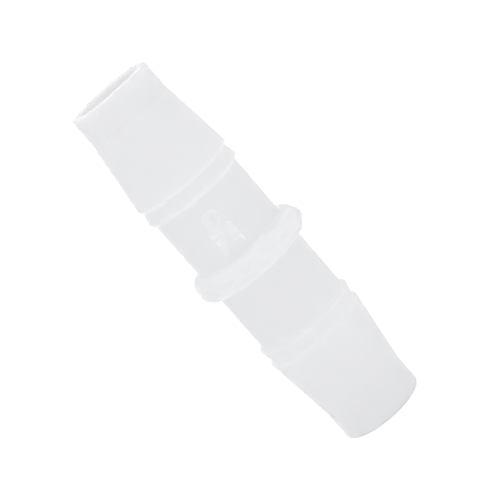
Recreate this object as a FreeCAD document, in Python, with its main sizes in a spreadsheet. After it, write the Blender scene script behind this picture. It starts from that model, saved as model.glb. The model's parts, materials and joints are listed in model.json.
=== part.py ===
import FreeCAD, Part

import os

import Sketcher

# A hose mender: one moulded tube with a collar round its middle and two barbs towards
# each end, pushed into the cut ends of two hoses to join them.
# It stands on its lower end, with Z up the middle of the bore. The scar of the gate
# is on the collar at +X, and a raised tally is on the upper neck at -Y.

# The name of each driving size, its value in millimetres and what it sets.
SIZES = [
    ("bore_diameter", 7.1, "clear passage through the tube"),
    ("nose_wall", 0.86, "wall of the plain nose at each end"),
    ("neck_wall", 1.385, "wall of the necks between the collar and the barbs"),
    ("collar_height", 1.215, "how far the collar stands above the necks"),
    ("collar_thickness", 2.58, "collar from face to face"),
    ("neck_length", 6.6, "plain neck from the collar to the inner barb"),
    ("barb_height", 0.435, "how far each barb stands above the necks"),
    ("groove_depth", 0.35, "groove between the two barbs, below their crests"),
    ("barb_back_length", 0.38, "slanted back of the inner barb"),
    ("inner_cone_length", 1.34, "short cone in front of the inner barb"),
    ("shoulder_length", 0.3, "steep back of the outer barb"),
    ("outer_cone_length", 7.55, "long cone that leads the hose up to the outer barb"),
    ("nose_length", 3.1, "plain nose that enters the hose first"),
    ("collar_rim_radius", 0.85, "rounding of both rims of the collar"),
    ("collar_foot_radius", 0.2, "fillet between the collar and the necks"),
    ("crest_radius", 0.12, "rounding of the barb crests"),
    ("nose_edge_radius", 0.25, "rounding of the outer edge at each end"),
    ("mouth_radius", 0.2, "rounding of the bore's mouths"),
    ("gate_radius", 0.93, "ball shape of the scar that the gate left"),
    ("gate_height", 0.34, "how far the scar stands above the collar"),
    ("tally_height", 0.06, "how far the raised tally stands above the neck"),
    ("ring_diameter", 1.6, "ring of the tally, outside"),
    ("ring_hole", 0.8, "ring of the tally, inside"),
    ("ring_rise", 1.15, "middle of the ring, above the middle of the neck"),
    ("bar_length", 2.2, "each bar of the tally, across the neck"),
    ("bar_width", 0.4, "each bar of the tally, along the neck"),
    ("bar_pitch", 0.85, "spacing of the bars along the neck"),
    ("bar_drop", 0.3, "middle of the top bar, below the middle of the neck"),
]

BAR_COUNT = 3

# Radii and heights from the middle of the collar, as expressions of the sizes.
BORE = "Sizes.bore_diameter / 2"
NOSE = f"{BORE} + Sizes.nose_wall"
NECK = f"{BORE} + Sizes.neck_wall"
COLLAR = f"{NECK} + Sizes.collar_height"
CREST = f"{NECK} + Sizes.barb_height"
GROOVE = f"{CREST} - Sizes.groove_depth"

COLLAR_FACE = "Sizes.collar_thickness / 2"
NECK_MIDDLE = f"{COLLAR_FACE} + Sizes.neck_length / 2"
INNER_CREST = f"{COLLAR_FACE} + Sizes.neck_length + Sizes.barb_back_length"
OUTER_CREST = f"{INNER_CREST} + Sizes.inner_cone_length + Sizes.shoulder_length"
HALF_LENGTH = f"{OUTER_CREST} + Sizes.outer_cone_length + Sizes.nose_length"

# The corners of the half section, from the middle of the collar up the outside to the
# end of the tube: the radius of each, and its rise above the corner before.
CORNERS = [
    (BORE, None),
    (COLLAR, None),
    (COLLAR, COLLAR_FACE),
    (NECK, None),
    (NECK, "Sizes.neck_length"),
    (CREST, "Sizes.barb_back_length"),
    (GROOVE, "Sizes.inner_cone_length"),
    (CREST, "Sizes.shoulder_length"),
    (NOSE, "Sizes.outer_cone_length"),
    (NOSE, "Sizes.nose_length"),
    (BORE, None),
]

# The tally starts half-way into the wall of the neck, so that it is part of it.
TALLY_ROOT = f"{NECK} - Sizes.neck_wall / 2"
TALLY_REACH = "Sizes.neck_wall / 2 + Sizes.tally_height"

# A rounding takes up no more than this share of the wall or step beside it. The two
# roundings on each face of the collar have shares of its height of their own.
ROUNDING_SHARE = 0.45
RIM_SHARE = 0.72
FOOT_SHARE = 0.22

# Two places closer than this are the same place.
SAME_PLACE = 0.0001


def make_sheet(doc):
    """The sheet of driving sizes, one to a row."""
    sheet = doc.addObject("Spreadsheet::Sheet", "Sizes")
    for row, (alias, value, meaning) in enumerate(SIZES, start=1):
        sheet.set(f"A{row}", alias)
        sheet.set(f"B{row}", str(value))
        sheet.set(f"C{row}", meaning)
        sheet.setAlias(f"B{row}", alias)
    doc.recompute()


def base_plane(body, role):
    """One of the body's own three planes."""
    return next(item for item in body.Origin.OriginFeatures if item.Role == role)


def new_sketch(body, name, role):
    """An empty sketch on one of the body's planes."""
    sketch = body.newObject("Sketcher::SketchObject", name)
    sketch.AttachmentSupport = [(base_plane(body, role), "")]
    sketch.MapMode = "FlatFace"
    return sketch


def add_size(sketch, kind, where, expression):
    """A constraint whose size follows an expression of the driving sizes."""
    value = sketch.evalExpression(expression)
    number = sketch.addConstraint(Sketcher.Constraint(kind, *where, value))
    sketch.setExpression(f"Constraints[{number}]", expression)


def draw_loop(sketch, points):
    """A closed outline of straight lines, joined at its corners."""
    first = sketch.GeometryCount
    count = len(points)
    for index in range(count):
        following = points[(index + 1) % count]
        sketch.addGeometry(Part.LineSegment(points[index], following), False)
    for index in range(count):
        this_line = first + index
        next_line = first + (index + 1) % count
        sketch.addConstraint(Sketcher.Constraint("Coincident", this_line, 2, next_line, 1))
    return first


def draw_half_section(sketch):
    """The wall of the tube, cut along the bore, from the collar's middle to its end."""
    points = []
    height = 0.0
    for radius, rise in CORNERS:
        if rise:
            height += sketch.evalExpression(rise)
        points.append(FreeCAD.Vector(sketch.evalExpression(radius), height, 0))
    draw_loop(sketch, points)
    sketch.addConstraint(Sketcher.Constraint("PointOnObject", 0, 1, -1))
    add_size(sketch, "DistanceX", (-1, 1, 0, 1), BORE)
    for corner in range(1, len(CORNERS)):
        line = corner - 1
        radius, rise = CORNERS[corner]
        if rise is None:
            sketch.addConstraint(Sketcher.Constraint("Horizontal", line))
        else:
            add_size(sketch, "DistanceY", (line, 1, line, 2), rise)
        if radius == CORNERS[line][0]:
            sketch.addConstraint(Sketcher.Constraint("Vertical", line))
        else:
            add_size(sketch, "DistanceX", (-1, 1, corner, 1), radius)


def revolve_tube(body):
    """The tube with sharp edges: the half section turned round, and its mirror image."""
    sketch = new_sketch(body, "half_section", "XZ_Plane")
    draw_half_section(sketch)
    half = body.newObject("PartDesign::Revolution", "upper_half")
    half.Profile = sketch
    half.ReferenceAxis = (sketch, ["V_Axis"])
    half.Angle = 360
    tube = body.newObject("PartDesign::Mirrored", "both_halves")
    tube.Originals = [half]
    tube.MirrorPlane = (base_plane(body, "XY_Plane"), [""])
    body.Tip = tube


def find_ring(shape, radius, height):
    """The names of the round edges of this radius, this far above and below the middle."""
    names = []
    for number, edge in enumerate(shape.Edges, start=1):
        if not isinstance(edge.Curve, Part.Circle):
            continue
        radius_off = abs(edge.Curve.Radius - radius)
        height_off = abs(abs(edge.Curve.Center.z) - height)
        if max(radius_off, height_off) < SAME_PLACE:
            names.append(f"Edge{number}")
    return names


def share(wall, part=ROUNDING_SHARE):
    """The most that a rounding may take of this wall."""
    return f"{part} * {wall}"


def round_ring(body, name, radius, height, rounding, limits):
    """Rounds the two edges that run round the tube at this radius and height."""
    body.Document.recompute()
    base = body.Tip
    edges = find_ring(base.Shape, base.evalExpression(radius), base.evalExpression(height))
    fillet = body.newObject("PartDesign::Fillet", name)
    fillet.Base = (base, edges)
    fillet.setExpression("Radius", f"min({'; '.join([rounding, *limits])})")
    body.Tip = fillet


def round_edges(body):
    """The roundings of the collar, the barbs, the noses and the bore."""
    round_ring(
        body, "collar_rims", COLLAR, COLLAR_FACE, "Sizes.collar_rim_radius",
        [share("Sizes.collar_thickness"), share("Sizes.collar_height", RIM_SHARE)],
    )
    round_ring(
        body, "collar_feet", NECK, COLLAR_FACE, "Sizes.collar_foot_radius",
        [share("Sizes.neck_length"), share("Sizes.collar_height", FOOT_SHARE)],
    )
    round_ring(
        body, "inner_crests", CREST, INNER_CREST, "Sizes.crest_radius",
        [share("Sizes.inner_cone_length"), share("Sizes.barb_back_length")],
    )
    round_ring(
        body, "outer_crests", CREST, OUTER_CREST, "Sizes.crest_radius",
        [share("Sizes.outer_cone_length"), share("Sizes.shoulder_length")],
    )
    round_ring(
        body, "nose_edges", NOSE, HALF_LENGTH, "Sizes.nose_edge_radius",
        [share("Sizes.nose_wall"), share("Sizes.nose_length")],
    )
    round_ring(
        body, "bore_mouths", BORE, HALF_LENGTH, "Sizes.mouth_radius",
        [share("Sizes.nose_wall"), share("Sizes.nose_length")],
    )


def add_gate_scar(body):
    """The low round scar on the collar's rim, where the moulding was cut from its gate."""
    scar = body.newObject("PartDesign::AdditiveSphere", "gate_scar")
    scar.AttachmentSupport = [(base_plane(body, "YZ_Plane"), "")]
    scar.MapMode = "FlatFace"
    scar.setExpression("Radius", "Sizes.gate_radius")
    centre = f"{COLLAR} + Sizes.gate_height - Sizes.gate_radius"
    scar.setExpression("AttachmentOffset.Base.z", centre)
    body.Tip = scar


def draw_ring(sketch):
    """The ring at the top of the tally."""
    height = f"{NECK_MIDDLE} + Sizes.ring_rise"
    centre = FreeCAD.Vector(0, sketch.evalExpression(height), 0)
    for diameter in ("Sizes.ring_diameter", "Sizes.ring_hole"):
        radius = sketch.evalExpression(diameter) / 2
        number = sketch.addGeometry(Part.Circle(centre, FreeCAD.Vector(0, 0, 1), radius), False)
        sketch.addConstraint(Sketcher.Constraint("PointOnObject", number, 3, -2))
        add_size(sketch, "DistanceY", (-1, 1, number, 3), height)
        add_size(sketch, "Diameter", (number,), diameter)


def draw_bar(sketch, middle):
    """One bar of the tally, with its middle at this height."""
    half_length = sketch.evalExpression("Sizes.bar_length / 2")
    half_width = sketch.evalExpression("Sizes.bar_width / 2")
    height = sketch.evalExpression(middle)
    points = [
        FreeCAD.Vector(-half_length, height - half_width, 0),
        FreeCAD.Vector(half_length, height - half_width, 0),
        FreeCAD.Vector(half_length, height + half_width, 0),
        FreeCAD.Vector(-half_length, height + half_width, 0),
    ]
    bottom = draw_loop(sketch, points)
    top = bottom + 2
    sketch.addConstraint(Sketcher.Constraint("Symmetric", bottom, 1, bottom, 2, -2))
    sketch.addConstraint(Sketcher.Constraint("Symmetric", top, 1, top, 2, -2))
    sketch.addConstraint(Sketcher.Constraint("Vertical", bottom + 1))
    add_size(sketch, "DistanceX", (bottom, 1, bottom, 2), "Sizes.bar_length")
    add_size(sketch, "DistanceY", (bottom, 2, top, 1), "Sizes.bar_width")
    add_size(sketch, "DistanceY", (-1, 1, bottom, 1), f"{middle} - Sizes.bar_width / 2")


def add_tally(body):
    """The shallow raised mark on the upper neck: a ring over a few bars."""
    sketch = new_sketch(body, "tally_outline", "XZ_Plane")
    sketch.setExpression("AttachmentOffset.Base.z", TALLY_ROOT)
    draw_ring(sketch)
    for index in range(BAR_COUNT):
        middle = f"{NECK_MIDDLE} - Sizes.bar_drop - {index} * Sizes.bar_pitch"
        draw_bar(sketch, middle)
    tally = body.newObject("PartDesign::Pad", "tally")
    tally.Profile = sketch
    tally.setExpression("Length", TALLY_REACH)
    body.Tip = tally


def check(doc, body):
    """Stops here if any object failed or the tube isn't one sound solid."""
    for item in doc.Objects:
        if {"Invalid", "Error"} & set(item.State):
            raise RuntimeError(f"{item.Name} failed: {item.State}")
    shape = body.Shape
    if shape.isNull() or not shape.isValid() or len(shape.Solids) != 1:
        raise RuntimeError(f"{body.Label} isn't one sound solid")


def main():
    doc = FreeCAD.newDocument("hose_mender")
    make_sheet(doc)
    body = doc.addObject("PartDesign::Body", "hose_mender")
    body.Label = "hose_mender"
    revolve_tube(body)
    round_edges(body)
    add_gate_scar(body)
    add_tally(body)
    body.setExpression("Placement.Base.z", HALF_LENGTH)
    doc.recompute()
    check(doc, body)

    box = body.Shape.optimalBoundingBox(False, False)
    print(f"across {box.XLength:.3f} by {box.YLength:.3f} mm, length {box.ZLength:.3f} mm")
    print(f"volume {body.Shape.Volume:.2f} cubic mm")

    os.makedirs("parts", exist_ok=True)
    body.Shape.exportStep(f"parts/{body.Label}.step")


main()
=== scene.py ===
# %% [markdown]
# # A hose mender in milky plastic
# This lesson dresses one small moulding: a tube with a collar round its middle and two
# barbs towards each end, which joins two cut hoses. The real thing is a single shot of
# uncoloured polypropylene, so there is one piece here and one material, and all the
# likeness has to come from an exact outline, soft moulded edges and the way that light
# soaks into the plastic. Everything is in metres, with Z up the bore.

# %% Start from the engineering model
import json
import math

import bpy
import numpy as np
from mathutils import Matrix, Vector


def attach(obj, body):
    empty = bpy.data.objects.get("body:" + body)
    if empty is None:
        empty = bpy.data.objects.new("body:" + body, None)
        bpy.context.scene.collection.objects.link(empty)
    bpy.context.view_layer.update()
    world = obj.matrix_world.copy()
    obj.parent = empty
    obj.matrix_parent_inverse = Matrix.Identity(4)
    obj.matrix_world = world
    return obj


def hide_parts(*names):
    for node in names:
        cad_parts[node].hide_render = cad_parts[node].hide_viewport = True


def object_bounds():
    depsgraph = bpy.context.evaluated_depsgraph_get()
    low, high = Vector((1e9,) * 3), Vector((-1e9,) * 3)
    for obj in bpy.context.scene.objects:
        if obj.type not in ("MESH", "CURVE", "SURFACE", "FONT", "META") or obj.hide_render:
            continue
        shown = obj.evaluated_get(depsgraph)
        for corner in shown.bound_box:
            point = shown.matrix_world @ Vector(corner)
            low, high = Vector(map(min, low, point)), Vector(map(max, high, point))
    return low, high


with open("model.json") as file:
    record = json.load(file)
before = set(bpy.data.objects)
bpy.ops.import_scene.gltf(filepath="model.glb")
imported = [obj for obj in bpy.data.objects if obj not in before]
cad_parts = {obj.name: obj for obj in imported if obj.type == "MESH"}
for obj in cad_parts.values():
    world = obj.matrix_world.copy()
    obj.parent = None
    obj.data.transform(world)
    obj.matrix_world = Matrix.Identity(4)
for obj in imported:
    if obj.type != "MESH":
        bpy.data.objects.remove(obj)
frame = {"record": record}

CAD_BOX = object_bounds()
print("engineering model from", tuple(CAD_BOX[0]), "to", tuple(CAD_BOX[1]))

# %% [markdown]
# ## The sizes
# A piece that stands in for an engineering node has to be the same size as the node.
# What the record states is read from it: the plain nose and the bore are mounts with a
# radius. The length, the collar's radius and the top of the gate scar come from the box
# round the engineering model. The rest of the outline is a handful of lengths and steps,
# the same ones that the model was drawn with, written once here in millimetres.

# %% Sizes of the moulding
MM = 0.001
MOUNTS = {mount["name"]: mount for mount in frame["record"]["mounts"]}

BORE_RADIUS = MOUNTS["flow_bore"]["dims"]["r_mm"] * MM
NOSE_RADIUS = MOUNTS["upper_hose_nose"]["dims"]["r_mm"] * MM
COLLAR_RADIUS = -CAD_BOX[0].x
LENGTH = CAD_BOX[1].z
MIDDLE = LENGTH / 2

NECK_RADIUS = 4.935 * MM
BARB_HEIGHT = 0.435 * MM
GROOVE_DEPTH = 0.35 * MM
CREST_RADIUS = NECK_RADIUS + BARB_HEIGHT
GROOVE_RADIUS = CREST_RADIUS - GROOVE_DEPTH

COLLAR_HALF = 1.29 * MM
NECK_LENGTH = 6.6 * MM
BARB_BACK = 0.38 * MM
INNER_CONE = 1.34 * MM
SHOULDER = 0.3 * MM
OUTER_CONE = 7.55 * MM

RIM_ROUNDING = 0.85 * MM
FOOT_ROUNDING = 0.2 * MM
NECK_END_ROUNDING = 0.08 * MM
CREST_ROUNDING = 0.12 * MM
GROOVE_ROUNDING = 0.05 * MM
CONE_END_ROUNDING = 1.2 * MM
NOSE_ROUNDING = 0.25 * MM
MOUTH_ROUNDING = 0.2 * MM

NECK_TOP = COLLAR_HALF + NECK_LENGTH
INNER_CREST = NECK_TOP + BARB_BACK
GROOVE = INNER_CREST + INNER_CONE
OUTER_CREST = GROOVE + SHOULDER
NOSE_START = OUTER_CREST + OUTER_CONE
print(f"nose starts {NOSE_START / MM:.2f} mm and ends {MIDDLE / MM:.2f} mm from the middle")

# %% [markdown]
# ## The outline
# The moulding is round, so its whole form is in one half outline that is turned about
# the bore. Blender has a Screw modifier and a Spin tool for this. Here the rings are
# laid out in code instead, because that lets the rings stand close together where the
# surface carries small detail, and leaves them wide apart where it is plain. A corner
# is given by its place and its rounding, and the arc is worked out from the two sides
# that meet there.

# %% Corners of the upper half
CORNERS = [
    (COLLAR_RADIUS, 0.0, 0.0),
    (COLLAR_RADIUS, COLLAR_HALF, RIM_ROUNDING),
    (NECK_RADIUS, COLLAR_HALF, FOOT_ROUNDING),
    (NECK_RADIUS, NECK_TOP, NECK_END_ROUNDING),
    (CREST_RADIUS, INNER_CREST, CREST_ROUNDING),
    (GROOVE_RADIUS, GROOVE, GROOVE_ROUNDING),
    (CREST_RADIUS, OUTER_CREST, CREST_ROUNDING),
    (NOSE_RADIUS, NOSE_START, CONE_END_ROUNDING),
    (NOSE_RADIUS, MIDDLE, NOSE_ROUNDING),
    (BORE_RADIUS, MIDDLE, MOUTH_ROUNDING),
    (BORE_RADIUS, 0.0, 0.0),
]
ARC_STEPS = 8
SMALL_ARC_STEPS = 5
SMALL_ROUNDING = 0.15 * MM


def round_corner(before, corner, after, rounding):
    """The points of an arc that joins the two sides of a corner."""
    corner, before, after = map(np.array, (corner, before, after))
    to_before = (before - corner) / np.linalg.norm(before - corner)
    to_after = (after - corner) / np.linalg.norm(after - corner)
    half_angle = math.acos(np.clip(to_before @ to_after, -1, 1)) / 2
    along_side = rounding / math.tan(half_angle)
    bisector = to_before + to_after
    centre = corner + bisector / np.linalg.norm(bisector) * rounding / math.sin(half_angle)
    start = corner + to_before * along_side - centre
    end = corner + to_after * along_side - centre
    sweep = math.pi - 2 * half_angle
    steps = SMALL_ARC_STEPS if rounding < SMALL_ROUNDING else ARC_STEPS
    points = []
    for step in range(steps + 1):
        share = step / steps
        first = math.sin((1 - share) * sweep) / math.sin(sweep)
        second = math.sin(share * sweep) / math.sin(sweep)
        points.append(centre + first * start + second * end)
    return points


def half_outline(corners):
    """The rounded outline of the upper half, from the collar to the bore."""
    points = [np.array(corners[0][:2])]
    for before, corner, after in zip(corners, corners[1:], corners[2:]):
        points += round_corner(before[:2], corner[:2], after[:2], corner[2])
    points.append(np.array(corners[-1][:2]))
    return np.array(points)


UPPER = half_outline(CORNERS)
print("upper outline has", len(UPPER), "points")

# %% [markdown]
# ## Rings where they are needed
# A long straight side needs only a few rings to look straight, but soft shading spreads
# over the whole width of a face, so outside and at the mouths no face is left wider than
# half a millimetre. Deep in the bore, where nothing changes, they may be wide. On the
# upper neck and round the collar, where small raised detail will be pushed out of the
# surface, the rings stand far closer.

# %% Tally and gate scar, the two raised details
NECK_MIDDLE = COLLAR_HALF + NECK_LENGTH / 2
TALLY_HEIGHT = 0.06 * MM
RING_OUTER = 0.8 * MM
RING_INNER = 0.4 * MM
RING_RISE = 1.15 * MM
RING_HEIGHT = NECK_MIDDLE + RING_RISE
BAR_LENGTH = 2.2 * MM
BAR_WIDTH = 0.4 * MM
BAR_PITCH = 0.85 * MM
BAR_DROP = 0.3 * MM
BAR_TOP = NECK_MIDDLE - BAR_DROP
BAR_COUNT = 3
TALLY_FROM = BAR_TOP - (BAR_COUNT - 1) * BAR_PITCH - BAR_WIDTH
TALLY_TO = RING_HEIGHT + RING_OUTER + BAR_WIDTH / 2

GATE_RADIUS = 0.93 * MM
GATE_TOP = CAD_BOX[1].x
GATE_CENTRE = GATE_TOP - GATE_RADIUS

BORE_STEP = 1.5 * MM
MOUTH_DEPTH = 2.0 * MM
WIDE_STEP = 0.33 * MM
FINE_STEP = 0.07 * MM


def step_at(radius, height):
    """How far apart the rings may stand at this place of the outline."""
    in_bore = radius < BORE_RADIUS + MOUTH_ROUNDING
    on_tally = TALLY_FROM < height < TALLY_TO
    on_collar = radius > NECK_RADIUS + FOOT_ROUNDING and abs(height) < COLLAR_HALF
    if in_bore:
        return BORE_STEP if abs(height) < MIDDLE - MOUTH_DEPTH else WIDE_STEP
    return FINE_STEP if on_tally or on_collar else WIDE_STEP


def refine(points):
    """Adds points to the sides that are longer than the step allows there."""
    finer = [points[0]]
    for start, end in zip(points, points[1:]):
        length = np.linalg.norm(end - start)
        walked = 0.0
        while walked < length:
            here = start + (end - start) * walked / length
            step = step_at(*here)
            walked = min(length, walked + step)
            left_over = length - walked
            walked = length if left_over < step / 2 else walked
            finer.append(start + (end - start) * walked / length)
    return np.array(finer)


lower_half = UPPER[::-1] * (1, -1)
OUTLINE = refine(np.vstack([UPPER, lower_half[1:-1]]))
print("closed outline has", len(OUTLINE), "rings")

# %% [markdown]
# ## Spokes where they are needed
# The same goes for the turn. A full circle gets spokes two degrees apart, which keeps
# the silhouette round in a close view. They close up on the front of the neck for the
# tally, on the side of the collar for the scar of the gate, and at the two parting
# lines, where the halves of the mould met.

# %% Angles of the spokes
PARTING_ANGLES = (0.0, 180.0)
GATE_ANGLE = 0.0
TALLY_ANGLE = -90.0
WIDE_TURN = 2.0
CLOSE_TURN = 0.6
PARTING_TURN = 0.25
TALLY_REACH = 18.0
GATE_REACH = 9.0
PARTING_REACH = 1.5
A_HAIR = 1e-6


def apart(angle, other):
    """The smaller angle between two directions, in degrees."""
    return abs((angle - other + 180.0) % 360.0 - 180.0)


def turn_at(angle):
    """How far apart the spokes may stand in this direction."""
    if min(apart(angle, parting) for parting in PARTING_ANGLES) < PARTING_REACH:
        return PARTING_TURN
    if apart(angle, GATE_ANGLE) < GATE_REACH or apart(angle, TALLY_ANGLE) < TALLY_REACH:
        return CLOSE_TURN
    return WIDE_TURN


def spokes():
    """The directions of the spokes, a quarter turn at a time so that each axis has one."""
    angles = []
    for quarter in range(4):
        angle = quarter * 90.0
        end = angle + 90.0
        while angle < end - A_HAIR:
            angles.append(angle)
            angle = min(end, angle + turn_at(angle + A_HAIR))
    return np.radians(angles)


SPOKES = spokes()
triangles = 2 * len(OUTLINE) * len(SPOKES)
print(len(OUTLINE), "rings by", len(SPOKES), "spokes, so", triangles, "triangles")

# %% [markdown]
# ## Relief
# Raised marks on a moulding are cut into the mould with a flat-ended tool, so their tops
# are flat and their sides are steep, with a small soft edge. A bump map would fake that
# and vanish at the silhouette. Pushing the real surface out keeps it true from every
# side. Each helper answers one question for all points at once: how far out is the
# surface here?

# %% Helpers for soft edges
def soft_step(distance, width):
    """One inside an edge, zero outside it, and a smooth slope of this width between."""
    share = np.clip(0.5 - distance / width, 0, 1)
    return share * share * (3 - 2 * share)


def soft_larger(first, second, width):
    """The larger of two surfaces, with the corner between them filled smoothly."""
    blend = np.clip(0.5 + (second - first) / (2 * width), 0, 1)
    return first + (second - first) * blend + width * blend * (1 - blend)


# %% The tally on the upper neck
MARK_EDGE = 0.13 * MM
FRONT_FACING = 0.5


def tally_mask(across, height):
    """One on the ring and the bars of the tally, and zero beside them."""
    from_ring = np.hypot(across, height - RING_HEIGHT)
    ring_middle = (RING_OUTER + RING_INNER) / 2
    nearest = np.abs(from_ring - ring_middle) - (RING_OUTER - RING_INNER) / 2
    for bar in range(BAR_COUNT):
        beside = np.abs(across) - BAR_LENGTH / 2
        above = np.abs(height - BAR_TOP + bar * BAR_PITCH) - BAR_WIDTH / 2
        nearest = np.minimum(nearest, np.maximum(beside, above))
    return soft_step(nearest, MARK_EDGE)


def add_tally(radius, angle, height):
    """Raises the tally to a flat top a little above the neck, on the -Y side."""
    from_front = angle - math.radians(TALLY_ANGLE)
    facing = np.cos(from_front)
    mask = tally_mask(radius * np.sin(from_front), height)
    on_neck = (np.abs(radius - NECK_RADIUS) < FOOT_ROUNDING) & (facing > FRONT_FACING)
    flat_top = (NECK_RADIUS + TALLY_HEIGHT) / np.maximum(facing, FRONT_FACING)
    return np.where(on_neck, radius + mask * (flat_top - radius), radius)


# %% The scar of the gate and the parting lines
GATE_FOOT = 0.05 * MM
FLASH_HEIGHT = 0.022 * MM
FLASH_WIDTH = 0.05 * MM


def add_gate(radius, angle, height):
    """Raises the ball-shaped scar on the rim of the collar, on the +X side."""
    beside = GATE_CENTRE * np.sin(angle)
    inside = GATE_RADIUS**2 - beside**2 - height**2
    ball = GATE_CENTRE * np.cos(angle) + np.sqrt(np.maximum(inside, 0))
    on_ball = (inside > 0) & (np.cos(angle) > 0) & (radius > NECK_RADIUS + FOOT_ROUNDING)
    raised = np.minimum(soft_larger(radius, ball, GATE_FOOT), GATE_TOP)
    return np.where(on_ball & (raised > radius), raised, radius)


def add_flash(radius, angle, height):
    """Raises the fine flash along both parting lines, but not beyond the collar."""
    across = radius * np.abs(np.sin(angle))
    flash = FLASH_HEIGHT * np.exp(-((across / FLASH_WIDTH) ** 2))
    outside = radius > NOSE_RADIUS - NOSE_ROUNDING / 2
    below_rim = radius < COLLAR_RADIUS
    limit = np.where(below_rim, COLLAR_RADIUS, radius)
    return np.where(outside, np.minimum(radius + flash, limit), radius)


# %% [markdown]
# ## The mesh
# Rings and spokes cross in a grid that closes on itself both ways, like the skin of a
# ring doughnut: up the outside, in over the end, down the bore and back. A closed skin
# with no holes matters here, because the light is followed inside the plastic and has
# to find the way out again.

# %% Build the moulding
def turned_points():
    """Every point of the surface, ring by ring, in the frame of the whole part."""
    angle, _ = np.meshgrid(SPOKES, OUTLINE[:, 0])
    radius = np.repeat(OUTLINE[:, :1], len(SPOKES), axis=1)
    height = np.repeat(OUTLINE[:, 1:], len(SPOKES), axis=1)
    radius = add_flash(radius, angle, height)
    radius = add_tally(radius, angle, height)
    radius = add_gate(radius, angle, height)
    stacked = (radius * np.cos(angle), radius * np.sin(angle), height + MIDDLE)
    return np.stack(stacked, axis=-1).reshape(-1, 3)


def grid_faces(rings, turns):
    """Four-sided faces between neighbouring rings and spokes, closed both ways."""
    ring, turn = np.meshgrid(np.arange(rings), np.arange(turns), indexing="ij")
    next_ring = (ring + 1) % rings
    next_turn = (turn + 1) % turns
    corners = [
        ring * turns + turn,
        ring * turns + next_turn,
        next_ring * turns + next_turn,
        next_ring * turns + turn,
    ]
    return np.stack(corners, axis=-1).reshape(-1, 4)


def build_moulding():
    """The whole moulding as one closed, smooth-shaded mesh."""
    points = turned_points()
    faces = grid_faces(len(OUTLINE), len(SPOKES))
    mesh = bpy.data.meshes.new("mender_moulding")
    mesh.from_pydata(points.tolist(), [], faces.tolist())
    mesh.validate()
    mesh.shade_smooth()
    piece = bpy.data.objects.new("mender_moulding", mesh)
    bpy.context.scene.collection.objects.link(piece)
    return piece


moulding = build_moulding()
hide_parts("hose_mender")
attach(moulding, "root")
print("moulding has", len(moulding.data.vertices), "points")

# %% [markdown]
# ## Writing a material as sums
# A material in Blender is a graph of nodes. Wiring small sums by hand is slow to read,
# so one class wraps an output of a node and lets Python's own operators add the Math
# nodes: `1 - mask` or `0.4 * noise + 0.1` read as they would on paper. Every other kind
# of node comes from one method that takes its type, its settings and its inputs.

# %% Signals and the graph that they live in
# Sockets of a Mix node that have the same name for every kind of data
COLOUR_A = 6
COLOUR_B = 7
COLOUR_RESULT = 2


class Signal:
    """One output of a node. Plus, minus and times add a Math node for values."""

    def __init__(self, graph, socket):
        self.graph = graph
        self.socket = socket

    def maths(self, operation, first, second):
        return self.graph.add("ShaderNodeMath", {"operation": operation}, {0: first, 1: second})

    def __add__(self, other):
        return self.maths("ADD", self, other)

    def __radd__(self, other):
        return self.maths("ADD", other, self)

    def __sub__(self, other):
        return self.maths("SUBTRACT", self, other)

    def __rsub__(self, other):
        return self.maths("SUBTRACT", other, self)

    def __mul__(self, other):
        return self.maths("MULTIPLY", self, other)

    def __rmul__(self, other):
        return self.maths("MULTIPLY", other, self)


class Graph:
    """The nodes of one material or world."""

    def __init__(self, owner):
        owner.use_nodes = True
        self.tree = owner.node_tree
        self.tree.nodes.clear()

    def add(self, kind, settings=None, inputs=None, output=0):
        """Adds a node, sets it up, fills its inputs and returns one of its outputs."""
        node = self.tree.nodes.new(kind)
        for name, value in (settings or {}).items():
            setattr(node, name, value)
        for name, value in (inputs or {}).items():
            if isinstance(value, Signal):
                self.tree.links.new(value.socket, node.inputs[name])
            else:
                node.inputs[name].default_value = value
        return Signal(self, node.outputs[output]) if len(node.outputs) else None

    def mix_colour(self, share, first, second):
        """Goes from the first colour to the second as the share goes from 0 to 1."""
        settings = {"data_type": "RGBA"}
        inputs = {0: share, COLOUR_A: first, COLOUR_B: second}
        return self.add("ShaderNodeMix", settings, inputs, COLOUR_RESULT)

    def ramp(self, value, start, end):
        """Goes from 0 to 1 as the value goes from start to end, and stays there."""
        settings = {"interpolation_type": "SMOOTHSTEP"}
        inputs = {"Value": value, "From Min": start, "From Max": end}
        return self.add("ShaderNodeMapRange", settings, inputs)

    def noise(self, inputs, dimensions="3D"):
        """Smooth random values around a half."""
        return self.add("ShaderNodeTexNoise", {"noise_dimensions": dimensions}, inputs)

    def vector_maths(self, operation, first, second=(0.0, 0.0, 0.0), output=0):
        """One step of reckoning on a whole vector."""
        settings = {"operation": operation}
        return self.add("ShaderNodeVectorMath", settings, {0: first, 1: second}, output)
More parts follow.
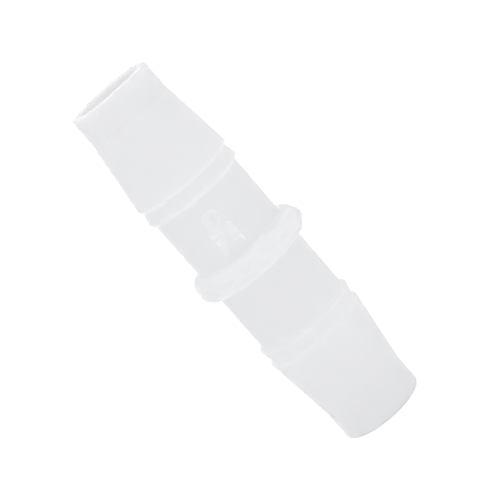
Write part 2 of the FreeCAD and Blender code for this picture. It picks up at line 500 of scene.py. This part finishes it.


# %% [markdown]
# ## Milky polypropylene
# Uncoloured polypropylene is neither white nor clear. Light enters it, scatters within
# a millimetre or two and leaves again, so thin walls glow, hollows stay light and edges
# look soft. Mixing in a see-through shader would show the far wall sharply, which the
# real plastic doesn't. Subsurface scattering is the right tool, and two kinds of it are
# blended here. A random walk follows the light deep through the body of the plastic, so
# thick parts look whiter than thin ones and light reaches the bore through the wall.
# The Burley kind only spreads light a little way under the skin, and keeps the small
# steps of the barbs light. The bore's own skin is all random walk.
#
# In a real tube of this kind light crosses the bore dozens of times, so the bore is
# nearly as light as the outside. A renderer gives up after a few crossings, and deep in
# the bore a very faint glow stands for the light that it drops.
#
# Over that lie small faults of the process, all very faint: clouding in the melt, a satin
# skin of uneven gloss and fine turning lines that the lathe left in the mould. Two more
# marks are painted light: pale highlight streaks painted round the thick collar, and a
# bore painted paler.

# %% The plastic
SKIN_MILK = (0.903, 0.904, 0.935, 1.0)
SKIN_CLOUD = (0.885, 0.893, 0.93, 1.0)
BODY_MILK = (0.953, 0.954, 0.97, 1.0)
BODY_CLOUD = (0.945, 0.948, 0.966, 1.0)
PALE_MILK = (0.975, 0.975, 0.978, 1.0)
NO_GLOW = (0.0, 0.0, 0.0, 1.0)
BORE_GLOW = 0.06
GLOW_FROM = 2.0 * MM
GLOW_FULL = 10.0 * MM
BODY_DEPTH = 2.3 * MM
SKIN_DEPTH = 0.6 * MM
SKIN_SHARE = 0.6
PLASTIC_IOR = 1.49
SURFACE_GLOSS = 0.25
SATIN = 0.45
SATIN_SPREAD = 0.14
RELIEF = 0.012 * MM
PEEL_RELIEF = 0.5
SKIN_RELIEF = 0.3
LINE_RELIEF = 0.2
BORE_BLEND = 0.08 * MM
# Pale streaks painted round the collar as painted highlight, stretched along the ring
PAINTED_HIGHLIGHT_SHARE = 0.5
PAINTED_HIGHLIGHT_STRETCH = (500.0, 500.0, 1500.0)
PAINTED_HIGHLIGHT_FROM = 0.45
PAINTED_HIGHLIGHT_FULL = 0.62
COLLAR_FROM = 0.9 * COLLAR_RADIUS
COLLAR_FULL = 0.97 * COLLAR_RADIUS


def polypropylene():
    """Uncoloured moulded polypropylene with a satin skin."""
    material = bpy.data.materials.new("natural_polypropylene")
    graph = Graph(material)
    place = graph.add("ShaderNodeTexCoord", output="Object")
    height = graph.add("ShaderNodeSeparateXYZ", None, {0: place}, "Z")

    clouds = graph.noise({"Vector": place, "Scale": 150.0, "Detail": 3.0})
    skin = graph.noise({"Vector": place, "Scale": 1500.0, "Detail": 2.0})
    peel = graph.noise({"Vector": place, "Scale": 700.0, "Detail": 1.0})
    lines = graph.noise({"W": height, "Scale": 6000.0, "Detail": 1.0}, "1D")

    flat_place = graph.vector_maths("MULTIPLY", place, (1.0, 1.0, 0.0))
    from_axis = graph.vector_maths("LENGTH", flat_place, output=1)
    in_bore = graph.ramp(from_axis, BORE_RADIUS + BORE_BLEND, BORE_RADIUS)
    on_collar = graph.ramp(from_axis, COLLAR_FROM, COLLAR_FULL)
    # Painted highlight: noise stretched along the ring, here called flow, paints pale streaks on
    # the collar
    along_ring = graph.vector_maths("MULTIPLY", place, PAINTED_HIGHLIGHT_STRETCH)
    flow = graph.noise({"Vector": along_ring, "Scale": 1.0, "Detail": 1.0})
    # pale paints the bore paler, which is painted light, and adds the painted highlight streaks of
    # the collar
    pale = in_bore + PAINTED_HIGHLIGHT_SHARE * on_collar * graph.ramp(flow, PAINTED_HIGHLIGHT_FROM, PAINTED_HIGHLIGHT_FULL)
    above_foot = graph.ramp(height, GLOW_FROM, GLOW_FULL)
    below_mouth = graph.ramp(height, LENGTH - GLOW_FROM, LENGTH - GLOW_FULL)
    glow = graph.mix_colour(in_bore * above_foot * below_mouth, NO_GLOW, PALE_MILK)

    skin_colour = graph.mix_colour(pale, graph.mix_colour(clouds, SKIN_MILK, SKIN_CLOUD), PALE_MILK)
    body_colour = graph.mix_colour(pale, graph.mix_colour(clouds, BODY_MILK, BODY_CLOUD), PALE_MILK)
    roughness = SATIN + SATIN_SPREAD * skin
    relief = PEEL_RELIEF * peel + SKIN_RELIEF * skin + LINE_RELIEF * lines
    normal = graph.add(
        "ShaderNodeBump", None, {"Strength": 1.0, "Distance": RELIEF, "Height": relief}
    )

    def scattering(method, depth, colour):
        """The satin surface over one kind of scattering."""
        settings = {"subsurface_method": method}
        inputs = {
            "Base Color": colour,
            "Roughness": roughness,
            "Normal": normal,
            "IOR": PLASTIC_IOR,
            "Specular IOR Level": SURFACE_GLOSS,
            "Emission Color": glow,
            "Emission Strength": BORE_GLOW,
            "Subsurface Weight": 1.0,
            "Subsurface Radius": (1.0, 1.0, 1.0),
            "Subsurface Scale": depth,
        }
        return graph.add("ShaderNodeBsdfPrincipled", settings, inputs)

    body = scattering("RANDOM_WALK", BODY_DEPTH, body_colour)
    near_skin = scattering("BURLEY", SKIN_DEPTH, skin_colour)
    skin_share = SKIN_SHARE * (1.0 - in_bore)
    shader = graph.add("ShaderNodeMixShader", None, {0: skin_share, 1: body, 2: near_skin})
    graph.add("ShaderNodeOutputMaterial", None, {"Surface": shader})
    return material


moulding.data.materials.append(polypropylene())
print("material", moulding.data.materials[0].name, "is on", moulding.name)

# %% [markdown]
# ## Floor and surroundings
# The mender stands on a plain white surface in an all-white room. To the camera, and in
# reflections, the floor and the room are simply white, so the floor adds its own white
# to a share of ordinary shading, which keeps the soft shadow of the part. To the light
# that bounces, the floor is a pale light table: nearly all of the light comes back, with
# a very faint glow of its own, which keeps the foot of the part from going grey.

# %% Floor
FLOOR_SIZE = 40.0
FLOOR_GLOW = 0.8
FLOOR_SHADED = 0.3
FLOOR_BOUNCE = 0.95
TABLE_GLOW = 0.08


def seen_directly(graph):
    """One for rays from the camera, mirrors and glass, and zero for bounced light."""
    rays = [
        graph.add("ShaderNodeLightPath", output=name)
        for name in ("Is Camera Ray", "Is Glossy Ray", "Is Transmission Ray")
    ]
    return graph.add(
        "ShaderNodeMath", {"operation": "MINIMUM"}, {0: rays[0] + rays[1] + rays[2], 1: 1.0}
    )


def grey(level):
    """A neutral colour of this lightness."""
    return (level, level, level, 1.0)


def floor_material():
    """White to the eye with a soft shadow, and a pale light table to bounced light."""
    material = bpy.data.materials.new("floor_white")
    graph = Graph(material)
    glow = graph.add("ShaderNodeEmission", None, {"Strength": FLOOR_GLOW})
    shaded = graph.add("ShaderNodeBsdfDiffuse", None, {"Color": grey(FLOOR_SHADED)})
    to_the_eye = graph.add("ShaderNodeAddShader", None, {0: glow, 1: shaded})
    pale = graph.add("ShaderNodeBsdfDiffuse", None, {"Color": grey(FLOOR_BOUNCE)})
    table = graph.add("ShaderNodeEmission", None, {"Strength": TABLE_GLOW})
    bounce = graph.add("ShaderNodeAddShader", None, {0: pale, 1: table})
    surface = graph.add(
        "ShaderNodeMixShader", None, {0: seen_directly(graph), 1: bounce, 2: to_the_eye}
    )
    graph.add("ShaderNodeOutputMaterial", None, {"Surface": surface})
    return material


def build_floor():
    """A wide flat sheet under the part."""
    half = FLOOR_SIZE / 2
    corners = [(-half, -half, 0), (half, -half, 0), (half, half, 0), (-half, half, 0)]
    mesh = bpy.data.meshes.new("floor")
    mesh.from_pydata(corners, [], [(0, 1, 2, 3)])
    mesh.materials.append(floor_material())
    floor = bpy.data.objects.new("floor", mesh)
    bpy.context.scene.collection.objects.link(floor)
    return floor


floor = build_floor()
print("floor is", FLOOR_SIZE, "m wide")

# %% [markdown]
# ## Light
# The tones on the part are very even, with the upper end a little lighter than the
# lower. An evenly pale room gives the base. A soft lamp close above adds the slope from
# top to bottom, and it also lights the floor round the part, which sends light up under
# the barbs and the collar. Four long low lamps stand round the part, the front one
# brighter, so that its sides stay light from every direction. The sum is set so that a
# colour renders about as it is written.

# %% Sky and lamps
HORIZON = 0.77
ZENITH = 0.8


def build_world():
    """White to the eye, and to bounced light an evenly pale room."""
    world = bpy.data.worlds.new("white_room")
    bpy.context.scene.world = world
    graph = Graph(world)
    direction = graph.add("ShaderNodeTexCoord", output="Generated")
    rise = graph.add("ShaderNodeSeparateXYZ", None, {0: direction}, "Z")
    room_colour = graph.mix_colour(rise, grey(HORIZON), grey(ZENITH))
    white = graph.add("ShaderNodeBackground", None, {"Color": grey(1.0), "Strength": 1.0})
    sky = graph.add("ShaderNodeBackground", None, {"Color": room_colour, "Strength": 1.0})
    surface = graph.add("ShaderNodeMixShader", None, {0: seen_directly(graph), 1: sky, 2: white})
    graph.add("ShaderNodeOutputWorld", None, {"Surface": surface})


def soft_lamp(name, place, target, width, height, level):
    """An oblong lamp that faces its target.

    The level is the brightness that a white card at the target would gain from it, which
    falls with the square of the distance, so the power has to rise with that square.
    """
    offset = Vector(place) - Vector(target)
    lamp = bpy.data.lights.new(name, "AREA")
    lamp.shape = "RECTANGLE"
    lamp.size = width
    lamp.size_y = height
    lamp.energy = level * math.pi**2 * offset.length_squared
    holder = bpy.data.objects.new(name, lamp)
    holder.location = place
    holder.rotation_mode = "QUATERNION"
    holder.rotation_quaternion = offset.to_track_quat("Z", "Y")
    bpy.context.scene.collection.objects.link(holder)


build_world()

COLLAR_MIDDLE = (0, 0, MIDDLE)
TOP_PLACE = (0, 0, 0.12)
TOP_WIDTH = 0.1
TOP_LEVEL = 0.18
soft_lamp("lamp_above", TOP_PLACE, COLLAR_MIDDLE, TOP_WIDTH, TOP_WIDTH, TOP_LEVEL)

LOW_LAMPS = {
    "front": (0, -1, 0.05),
    "right": (1, 0, 0.03),
    "back": (0, 1, 0.02),
    "left": (-1, 0, 0.02),
}
LOW_DISTANCE = 0.13
LOW_PLACE = 0.012
LOW_WIDTH = 0.2
LOW_HEIGHT = 0.02
for side, (x, y, level) in LOW_LAMPS.items():
    place = (x * LOW_DISTANCE, y * LOW_DISTANCE, LOW_PLACE)
    soft_lamp(f"lamp_{side}", place, COLLAR_MIDDLE, LOW_WIDTH, LOW_HEIGHT, level)
print("horizon", HORIZON, "zenith", ZENITH, "and", 1 + len(LOW_LAMPS), "lamps")

# %% [markdown]
# ## Camera
# The part is seen from just above its middle and a little round towards the gate scar,
# with the camera rolled so that the upper end leans to the left. The view is close, so
# the perspective is real: the distance and the lens were found from how the two ends
# differ. The last step moves the camera sideways so that the middle of the collar falls
# on its own pixel.

# %% Place the camera
PICTURE_WIDTH = 500
PIXELS_PER_METRE = 10407.0
DISTANCE = 0.1869
ELEVATION = math.radians(11.95)
ROUND = math.radians(5.6)
ROLL = math.radians(40.96)
COLLAR_PIXEL = (248.2, 253.0)
NEAREST_SEEN = 0.01
FARTHEST_SEEN = 100.0


def build_camera():
    """The camera at the viewing angle, with its lens worked out from the scale."""
    data = bpy.data.cameras.new("camera")
    data.lens = data.sensor_width * PIXELS_PER_METRE * DISTANCE / PICTURE_WIDTH
    data.clip_start = NEAREST_SEEN
    data.clip_end = FARTHEST_SEEN
    camera = bpy.data.objects.new("camera", data)
    bpy.context.scene.collection.objects.link(camera)
    bpy.context.scene.camera = camera

    level = math.cos(ELEVATION)
    back = Vector((math.sin(ROUND) * level, -math.cos(ROUND) * level, math.sin(ELEVATION)))
    side = Vector((math.cos(ROUND), math.sin(ROUND), 0))
    rise = back.cross(side)
    right = math.cos(ROLL) * side - math.sin(ROLL) * rise
    up = math.sin(ROLL) * side + math.cos(ROLL) * rise
    centre_pixel = PICTURE_WIDTH / 2
    shift_right = (centre_pixel - COLLAR_PIXEL[0]) / PIXELS_PER_METRE
    shift_up = (COLLAR_PIXEL[1] - centre_pixel) / PIXELS_PER_METRE
    aim = Vector((0, 0, MIDDLE)) + shift_right * right + shift_up * up
    turn = Matrix((right, up, back)).transposed().to_4x4()
    camera.matrix_world = Matrix.Translation(aim + back * DISTANCE) @ turn
    return camera


camera = build_camera()
bpy.context.scene.view_settings.view_transform = "Standard"
print("lens", round(camera.data.lens, 1), "mm at", tuple(round(v, 4) for v in camera.location))
